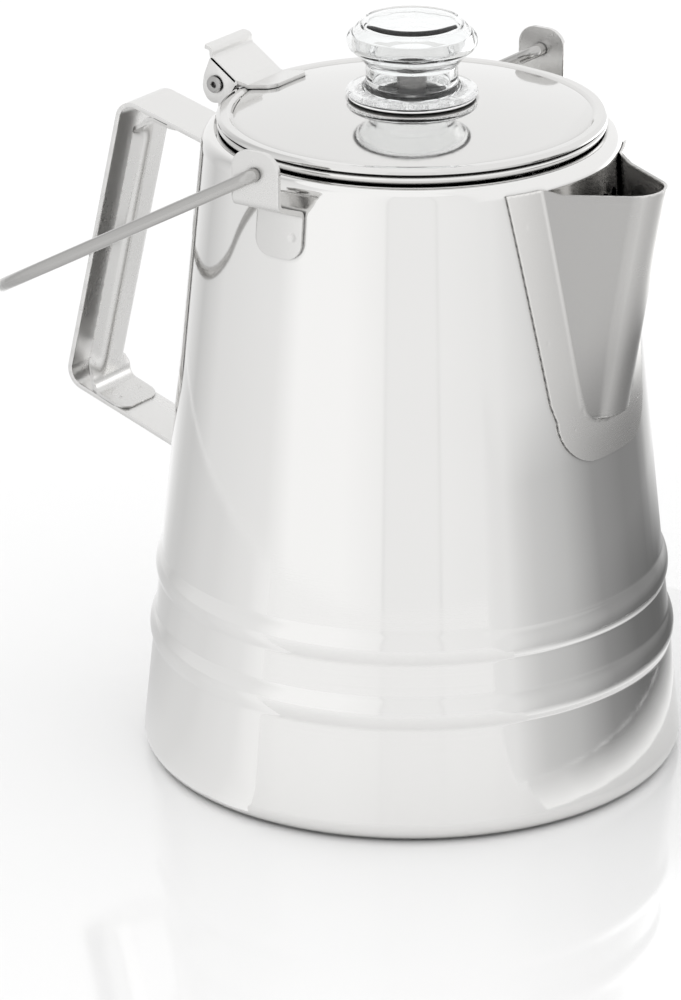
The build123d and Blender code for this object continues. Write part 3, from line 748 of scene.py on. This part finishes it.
def bent_strip(name, path, half_width, thickness, section=None, wrap=None):
    """A sheet strip along a path in the XZ plane. At a distance s along it, half_width(s, total length)
    is its half-width, and section(s, u) gives the (y, lift) of the point u across from the path."""
    points = [Vector(p) for p in path]
    lengths = [0.0]
    for a, b in zip(points, points[1:]):
        lengths.append(lengths[-1] + (b - a).length)
    rows = []
    for i, point in enumerate(points):
        along = (points[min(i + 1, len(points) - 1)] - points[max(i - 1, 0)]).normalized()
        normal = Vector((-along.y, along.x))
        s = lengths[i]
        reach = half_width(s, lengths[-1])
        row = []
        for c in range(33):
            u = reach * (c / 16 - 1)
            y, lift = section(s, u) if section else (u, 0.0)
            x, z = point + normal * lift
            if wrap:
                x += wrap(x, z, y)
            row.append((x, y, z))
        rows.append(row)
    return ease(thicken(grid(name, rows), thickness - 0.02, 0), 0.25, 3)


def wall_wrap(thickness):
    """Bends the strip's welded tabs round the pot wall."""
    def move(x, z, y):
        near = max(0.0, min(1.0, 1 - (-x - wall(z, thickness)) / 6.0))
        return near * (-x - sqrt(x * x - y * y))
    return move


def end_round(radius, half):
    """Half-width of a strip whose two ends have rounded corners."""
    def width(s, total):
        d = min(s, total - s)
        return half - radius + sqrt(max(radius ** 2 - (radius - d) ** 2, 0.0)) if d < radius else half
    return width


def handle_strap():
    """The outer strap: a welded tab, the upper arm, the grip's back, the lower arm and a second tab."""
    mid = STRAP_T / 2
    _, high, deep, _ = handle_corners(mid, mid)
    (top_start, top_stop), (low_start, low_stop) = TAB_TOP, TAB_LOW
    head = [(-wall(top_start, mid), top_start), (-wall(top_stop, mid), top_stop, TAB_BEND)]
    foot = [(-wall(low_start, mid), low_start, TAB_BEND), (-wall(low_stop, mid), low_stop)]
    path = head + [(*high, STRAP_BEND - mid), (*deep, STRAP_BEND - mid)] + foot
    path = with_fine_ends(densify(rounded(path, step=6.0), 2.0, 0.3), 3.0)
    strip = bent_strip("handle_outer", path, end_round(3.0, STRAP_W / 2), STRAP_T, wrap=wall_wrap(mid))
    dents = []
    for z in TAB_WELDS:
        for y in (-5.0, 5.0):
            x = -sqrt(wall(z, STRAP_T) ** 2 - y * y)
            dents.append(dimple((x, y, z), (x, y, 8.0)))
    place(cut(strip, dents, 30), "pot", strap_steel, "handle_strap")


def with_fine_ends(path, radius):
    """Replaces the first and last stretch by points that follow a corner radius well."""
    def fine(points):
        start, total = Vector(points[0]), 0.0
        k = 0
        while total < radius and k + 1 < len(points):
            total += (Vector(points[k + 1]) - Vector(points[k])).length
            k += 1
        along = (Vector(points[1]) - start).normalized()
        marks = [radius * (1 - cos(radians(a))) for a in range(0, 91, 10)]
        return [tuple(start + along * m) for m in marks] + points[k:]
    path = fine(path)
    return list(reversed(fine(list(reversed(path)))))


def handle_grip():
    """The inner grip: two flat tabs under the arms, and a channel whose flanges fold outwards."""
    mid = STRAP_T + GRIP_T / 2
    top, high, deep, low = handle_corners(mid + 0.05, GRIP_DEPTH - GRIP_T / 2)
    arm_top, arm_low = Vector(top[0]), Vector(low[1])
    to_top, to_low = (arm_top - high).normalized(), (arm_low - deep).normalized()
    start = high + to_top * ((GRIP_ENDS_X[0] - high.x) / to_top.x)
    stop = deep + to_low * ((GRIP_ENDS_X[1] - deep.x) / to_low.x)
    path = rounded([tuple(start), (*high, GRIP_BEND), (*deep, GRIP_BEND), tuple(stop)], step=6.0)
    path = with_fine_ends(densify(path, 1.2, 0.3), 4.0)
    arm_len, face_len = (start - high).length, (deep - high).length
    half, face = STRAP_W / 2, GRIP_FACE_W / 2 - GRIP_T / 2
    bend = 1.6

    def channel(s):
        """0 on the tabs, 1 along the folded middle."""
        a = (s - arm_len - 1.0) / 7.0
        b = (arm_len + face_len - 5.0 - s) / 7.0
        t = max(0.0, min(1.0, a, b))
        return t * t * (3 - 2 * t)

    def section(s, u):
        c = channel(s)
        if c == 0.0:
            return u, 0.0
        side, away = (1 if u > 0 else -1), abs(u)
        angle = c * pi / 2
        radius = bend / max(c, 0.2)
        flat = face - bend
        if away < flat:
            return u, 0.0
        turn = min((away - flat) / radius, angle)
        rest = max(away - flat - angle * radius, 0.0)
        y = flat + radius * sin(turn) + rest * cos(angle)
        lift = radius * (1 - cos(turn)) + rest * sin(angle)
        return side * y, -lift

    def width(s, total):
        c = channel(s)
        folded = face - bend + bend * pi / 2 + (GRIP_FLANGE - bend)
        plain = end_round(4.0, half)(s, total)
        return plain * (1 - c) + folded * c

    strip = bent_strip("handle_inner", path, width, GRIP_T, section)
    lift = STRAP_T + GRIP_T + 0.05
    dents = []
    for (a, b), x, up in zip((ARM_TOP, ARM_LOW), GRIP_WELDS_X, (-1, 1)):
        slope = (b[1] - a[1]) / (b[0] - a[0])
        z = a[1] + slope * (x - a[0]) + up * lift * hypot(1, slope)
        dents += [dimple((x, y, z), (-up * slope, 0, up)) for y in (-5.2, 5.2)]
    place(cut(strip, dents, 30), "pot", grip_steel, "handle_grip")


# ---------------------------------------------------------------- lid, lever and hinge
def lid():
    """The dome with its stepped edge and bayonet notches, and the ring under it."""
    hole, edge = LID_HOLE_R, 53.6
    top = [(r, dome_z(r)) for r in span(hole + 0.25, edge, 34)]
    border = rounded([
        (edge + 0.9, 203.85, 0.8), (55.6, 204.4, 0.8), (57.9, 204.45, 0.9), (LID_R, 203.6, 0.7),
        (LID_R, 202.7, 0.25), (LID_R - 0.6, 202.7, 0.25), (57.6, 203.4),
    ])
    under = [(55.0, 203.4)] + [(r, dome_z(r, LID_T)) for r in span(edge, hole + 0.25, 24)]
    rim = [(hole, dome_z(hole, LID_T) + 0.25), (hole, dome_z(hole) - 0.25)]
    shell = lathe("lid_dome", top + border + under + rim, 240, 50)
    arc = radians(LUG_ARC + 8) / 2
    outer = [(LUG_R + 0.4, a) for a in span(-arc, arc, 16)]
    inner = [(hole - 2, a) for a in span(arc, -arc, 16)]
    notches = []
    for turn in (0.0, pi):
        ring = [(r, turn + a) for r, a in outer + inner]
        notches.append(prism("notch", [(r * cos(a), r * sin(a)) for r, a in ring], 200, 215, "Z"))
    place(cut(shell, notches, 40), "lid", lid_steel, "lid_shell")
    skirt = rounded([
        (56.7, 203.4), (57.3, 203.4), (57.3, 202.2, 0.3), (58.2, 201.9, 0.4), (58.85, 201.3, 0.5),
        (58.4, 200.3, 0.5), (58.0, 199.6, 0.3), (57.1, 199.5, 0.3), (56.75, 199.0, 0.4),
        (55.9, SKIRT_LOW, 0.3), (55.1, SKIRT_LOW, 0.3), (55.9, 199.0), (55.9, 203.4),
    ], closed=True)
    place(lathe("lid_plug_ring", skirt, 240, 40), "lid", rim_steel, "lid_skirt")


def lever():
    """The welded tongue, the sloping web and the thumb lip as one strip, with two cheeks beside it."""
    mid = LEVER_T / 2
    tongue = [(-r, dome_z(r, -mid - 0.02)) for r in span(44.2, 54.0, 16)]
    web_and_lip = rounded([
        tongue[-1], (-57.6, 206.0, 2.5), (-66.9, 212.3, 1.6), (-66.9, 214.9, 1.3), (-69.6, 215.4),
    ])
    path = tongue + web_and_lip[1:]
    path = with_fine_ends(densify(path, 1.2, 0.25), 1.0)
    half, lip_corner = LEVER_W / 2, 0.8

    def width(s, total):
        narrow, radius = half - 1.0, TONGUE_CORNER
        if s < radius:
            return narrow - radius + sqrt(max(radius ** 2 - (radius - s) ** 2, 0.0))
        blend = max(0.0, min(1.0, (s - 11.4) / 2.5))
        left = total - s
        wide = half
        if left < lip_corner:
            wide = half - lip_corner + sqrt(max(lip_corner ** 2 - (lip_corner - left) ** 2, 0.0))
        return narrow + (wide - narrow) * blend

    fine = [TONGUE_CORNER * (1 - cos(radians(a))) for a in range(0, 90, 6)]
    origin = Vector(path[0])
    heading = (Vector(path[4]) - origin).normalized()
    head = [tuple(origin + heading * m) for m in fine]
    path = head + [p for p in path if (Vector(p) - origin).length > TONGUE_CORNER]
    web = bent_strip("web", path, width, LEVER_T)
    outline = rounded([
        (-70.4, 202.2, 5.0), (-69.6, 206.5, 6.0), (-67.4, 212.0, 0.9), (-66.4, 212.2, 0.8),
        (-57.9, 206.4, 1.2), (-56.1, 204.9, 0.6), (-57.9, 204.9, 0.6), (-60.2, 201.4, 2.0),
        (-62.4, 198.6, 3.2), (-67.9, 197.6, 3.6),
    ], closed=True, step=8.0)
    parts = [web]
    for side in (-1, 1):
        outer, inner = side * half, side * (half - LEVER_T)
        cheek = prism("cheek", outline, min(outer, inner), max(outer, inner))
        ease(cheek, 0.3, 3)
        hole = rod((HINGE_X, side * half, HINGE_Z), (0, 1, 0), 2.08, 6, 36)
        parts.append(cut(cheek, [hole], 30))
    place(merge("lid_thumb_lever", parts), "lid", strap_steel, "lid_lever")


def turned_about_y(name, profile, x, z, steps=36):
    """Turns an open profile of (radius, y) about an axis through (x, z), along Y."""
    rows = [[(x + r * cos(a), y, z + r * sin(a)) for a in span(0, 2 * pi, steps)] for r, y in profile]
    return grid(name, rows, 40)


def hinge_pin():
    """A tubular rivet: a rolled head on each side and a hollow end."""
    half = LEVER_W / 2 + 0.65
    head = [(0.0, half - 0.4), (0.85, half - 0.4), (0.9, half + 0.5), (1.15, half + 0.75), (1.9, half + 0.75),
            (2.55, half + 0.5), (2.7, half + 0.15), (2.6, half - 0.1), (2.0, half - 0.12)]
    profile = head + [(2.0, -half + 0.12)] + [(r, -y) for r, y in reversed(head)][1:]
    place(turned_about_y("lid_hinge_rivet", profile, HINGE_X, HINGE_Z), "pot", pin_steel, "hinge_pin")


# ---------------------------------------------------------------- knob and pump
def knob():
    """Clear glass, hollow right up into the cap."""
    low, cavity, neck = KNOB_LOW, KNOB_CAVITY_R, KNOB_NECK_R
    profile = [(cavity, 203.6), (12.0, 203.6), (12.2, 203.8), (12.2, low), (19.0, low)]
    profile += arc3((19.0, low), (19.8, low + 0.4), (20.0, low + 1.0), 12)
    profile += arc3((20.0, low + 1.0), (19.6, low + 1.7), (18.6, low + 2.0), 12)
    profile += arc3((18.6, low + 2.0), (15.6, low + 2.6), (14.2, low + 4.2), 6)
    profile += [(neck, low + 5.4), (neck, low + 9.4)]
    profile += arc3((neck, low + 9.4), (15.2, 220.9), (18.4, 223.9), 6)
    profile += arc3((18.4, 223.9), (19.4, 225.1), (KNOB_CAP_R, 226.5), 8)
    profile += arc3((KNOB_CAP_R, 226.5), (19.4, 227.9), (18.4, 229.0), 8)
    profile += [(15.6, 231.9)] + arc3((15.6, 231.9), (14.9, 232.6), (13.9, 233.0), 10)
    profile += [(r, 233.0) for r in span(12.5, 0.0, 6)]
    profile += [(r, 230.8) for r in span(0.0, 12.8, 6)]
    profile += arc3((12.8, 230.8), (13.9, 230.5), (14.8, 229.9), 10)
    profile += [(16.4, 228.2)] + arc3((16.4, 228.2), (17.3, 226.7), (16.9, 225.2), 8)
    profile += [(13.2, 221.6)] + arc3((13.2, 221.6), (12.0, 220.4), (11.6, 218.8), 8)
    profile += [(11.6, 212.6), (cavity, 210.6)]
    place(lathe("knob_body", densify(profile, 1.5, 0.25), 128, 60), "knob", knob_glass, "glass_knob")


def pump_tube():
    """The pump's pipe, open at both ends, with a cross hole near its foot."""
    lip = 0.25
    profile = rounded([
        (STEM_BORE_R, 8.0), (STEM_R, 8.0, lip), (STEM_R, STEM_TOP, lip), (STEM_BORE_R, STEM_TOP, lip),
    ], closed=True)
    pipe = lathe("pump_pipe", densify(profile + [profile[0]], 12.0)[:-1], 64, 40)
    hole = rod((0, 0, 14.0), (1, 0, 0), 1.5, 20)
    place(cut(pipe, [hole], 40), "pump", pump_aluminium, "stem_tube")


# ---------------------------------------------------------------- studio
AZIMUTH, ELEVATION, DISTANCE, AIM_Z, LENS, SHIFT = 34.0, 21.26, 1.7, 0.07866, 198.15, -0.0715
ROOM_STRENGTH, TENT_UNSHADED, TABLE_UNSHADED, TABLE_Z = 1.08, 1.03, 1.04, 0.4


def camera():
    a, e = radians(AZIMUTH), radians(ELEVATION)
    back = Vector((sin(a) * cos(e), -cos(a) * cos(e), sin(e)))
    data = bpy.data.cameras.new("camera")
    data.lens, data.sensor_width, data.sensor_fit = LENS, 36.0, "AUTO"
    data.shift_x = SHIFT
    data.clip_end = 50.0
    cam = bpy.data.objects.new("camera", data)
    cam.location = Vector((0, 0, AIM_Z)) + back * DISTANCE
    cam.rotation_euler = (-back).to_track_quat("-Z", "Y").to_euler()
    bpy.context.scene.collection.objects.link(cam)
    bpy.context.scene.camera = cam


def floor():
    half = 6000.0
    plane = grid("studio_floor", [[(-half, y, 0.0), (half, y, 0.0)] for y in (-half, half)])
    material, tree, bsdf = shader("white_acrylic")
    tone = two_tones(tree, noise(tree, 3.0), (0.945, 0.945, 0.945), (0.96, 0.96, 0.96))
    tree.links.new(tone, bsdf.inputs["Base Color"])
    bsdf.inputs["Specular IOR Level"].default_value = 0.5
    tree.links.new(between(tree, noise(tree, 40.0), 0.05, 0.07), bsdf.inputs["Roughness"])
    plane.data.materials.append(material)


def world():
    """A white room, as seen by the camera and by what is lit."""
    room = bpy.data.worlds.new("studio")
    room.use_nodes = True
    room.node_tree.nodes["Background"].inputs["Color"].default_value = (1, 1, 1, 1)
    room.node_tree.nodes["Background"].inputs["Strength"].default_value = ROOM_STRENGTH
    bpy.context.scene.world = room
    bpy.context.scene.view_settings.view_transform = "Standard"


# The light tent in plan: (degrees to the camera's right, distance from the pot's axis, then its brightness
# low down, in the middle and high up)
TENT = (
    (-179.9, 460, 1.05, 1.05, 1.05), (-150, 460, 1.00, 1.00, 1.00), (-124, 460, 0.66, 0.66, 0.66),
    (-104, 460, 0.86, 0.86, 0.86), (-66, 460, 0.94, 0.94, 0.94), (-54, 460, 1.10, 1.10, 1.10),
    (-30, 460, 1.10, 1.10, 1.10), (-13, 460, 1.04, 1.04, 1.04), (-11.9, 460, 0.92, 0.92, 0.92),
    (-10.7, 460, 0.99, 0.99, 0.99), (10.7, 460, 0.99, 0.99, 0.99), (11.9, 460, 0.91, 0.91, 0.91),
    (13, 460, 1.00, 1.00, 1.00), (31, 460, 0.97, 0.97, 0.97), (33, 150, 0.90, 0.90, 0.95),
    (38, 150, 0.78, 0.78, 0.90), (44, 150, 0.66, 0.68, 0.85), (57, 150, 0.55, 0.58, 0.70),
    (73, 150, 0.30, 0.34, 0.62), (92, 150, 0.18, 0.26, 0.90), (108, 150, 0.15, 0.26, 1.90),
    (116, 150, 0.15, 0.38, 2.30), (122, 150, 0.18, 0.60, 2.30), (142, 150, 0.50, 1.00, 2.20),
    (152, 150, 0.90, 1.00, 1.20), (156, 460, 1.00, 1.00, 1.05), (179.9, 460, 1.05, 1.05, 1.05),
)
# Its rows: (height, how much of the near card's shade it has, share of low, middle and high brightness)
TENT_ROWS = (
    (0.4, 1, 1, 0, 0), (30, 1, 1, 0, 0), (60, 1, 0, 1, 0), (94, 1, 0, 1, 0), (120, 1, 0, 0, 1),
    (186, 1, 0, 0, 1), (212, 0, 0, 0, 1), (900, 0, 0, 0, 1),
)
# A part of the tent that is closer than this is the near card
NEAR = 300.0
# Painted shade on the table, which only reflections see: (distance from the axis, degrees where it starts,
# how much of the shade it has), the degrees where it ends, and its shades
TABLE_LEFT = ((84.0, -38.0, 1), (120.0, -46.0, 1), (300.0, -60.0, 1), (455.0, -62.0, 1))
LEFT_END, LEFT_SHADES = -150.0, (1.04, 0.92, 0.88, 0.82, 0.80, 0.74, 0.68, 0.70, 0.85, 1.04)
TABLE_RIGHT = ((108.0, 36.0, 0), (124.0, 36.0, 0.5), (149.5, 36.0, 1))
RIGHT_END, RIGHT_SHADES = 146.0, (0.78, 0.66, 0.44, 0.24, 0.18, 0.16, 0.16, 0.20, 0.5, 0.9)


def from_camera(angle, distance, z):
    """A point given in plan by degrees to the camera's right and a distance from the pot's axis."""
    a = radians(AZIMUTH - 90 + angle)
    return (distance * cos(a), distance * sin(a), z)


def card(name, rows, lights):
    """A glowing card that only reflections and glass can see, from above it or from inside the tent."""
    obj = grid(name, rows)
    layer = obj.data.attributes.new("brightness", "FLOAT", "POINT")
    layer.data.foreach_set("value", [light for row in lights for light in row])
    material = bpy.data.materials.new(name)
    material.use_nodes = True
    tree = material.node_tree
    tree.nodes.clear()
    attribute = tree.nodes.new("ShaderNodeAttribute")
    attribute.attribute_name = "brightness"
    emission = tree.nodes.new("ShaderNodeEmission")
    clear = tree.nodes.new("ShaderNodeBsdfTransparent")
    side = tree.nodes.new("ShaderNodeNewGeometry")
    mix = tree.nodes.new("ShaderNodeMixShader")
    output = tree.nodes.new("ShaderNodeOutputMaterial")
    tree.links.new(attribute.outputs["Fac"], emission.inputs["Color"])
    tree.links.new(side.outputs["Backfacing"], mix.inputs["Fac"])
    tree.links.new(emission.outputs[0], mix.inputs[1])
    tree.links.new(clear.outputs[0], mix.inputs[2])
    tree.links.new(mix.outputs[0], output.inputs["Surface"])
    obj.data.materials.append(material)
    obj.visible_camera = False
    obj.visible_diffuse = False
    obj.visible_shadow = False
    return obj


def tent():
    """The ring of cards round the pot, its brightness blended between the directions in the table above."""
    plan = []
    for start, stop in zip(TENT, TENT[1:]):
        for t in span(0.0, 1.0, max(1, ceil((stop[0] - start[0]) / 3)))[:-1]:
            plan.append([p + (q - p) * t for p, q in zip(start, stop)])
    plan.append(TENT[-1])
    rows, lights = [], []
    for z, shade, *shares in TENT_ROWS:
        rows.append([from_camera(angle, distance, z) for angle, distance, *levels in plan])
        row = []
        for angle, distance, *levels in plan:
            light = sum(share * level for share, level in zip(shares, levels))
            if distance < NEAR:
                light = TENT_UNSHADED + (light - TENT_UNSHADED) * shade
            row.append(light)
        lights.append(row)
    ring = card("light_tent", rows, lights)
    if ring.data.polygons[0].normal.dot(ring.data.polygons[0].center) > 0:
        ring.data.flip_normals()


def table(name, edge, end, shades):
    """A card of painted shade lying on the table, which the pot's wall reflects."""
    rows, lights = [], []
    for distance, start, share in edge:
        rows.append([from_camera(angle, distance, TABLE_Z) for angle in span(start, end, len(shades) - 1)])
        lights.append([TABLE_UNSHADED + (shade - TABLE_UNSHADED) * share for shade in shades])
    sheet = card(name, rows, lights)
    if sheet.data.polygons[0].normal.z < 0:
        sheet.data.flip_normals()


def main():
    pot()
    spout()
    ear(-1, "bail_ear_near", "ear_left")
    ear(1, "bail_ear_far", "ear_right")
    bail()
    handle_strap()
    handle_grip()
    lid()
    lever()
    hinge_pin()
    knob()
    pump_tube()
    for node, material in DRESSED.items():
        dress(node, material)
    floor()
    world()
    tent()
    # Cards of painted shade on the table, seen only in reflections.
    table("floor_shade_left", TABLE_LEFT, LEFT_END, LEFT_SHADES)
    table("floor_shade_right", TABLE_RIGHT, RIGHT_END, RIGHT_SHADES)
    camera()


main()
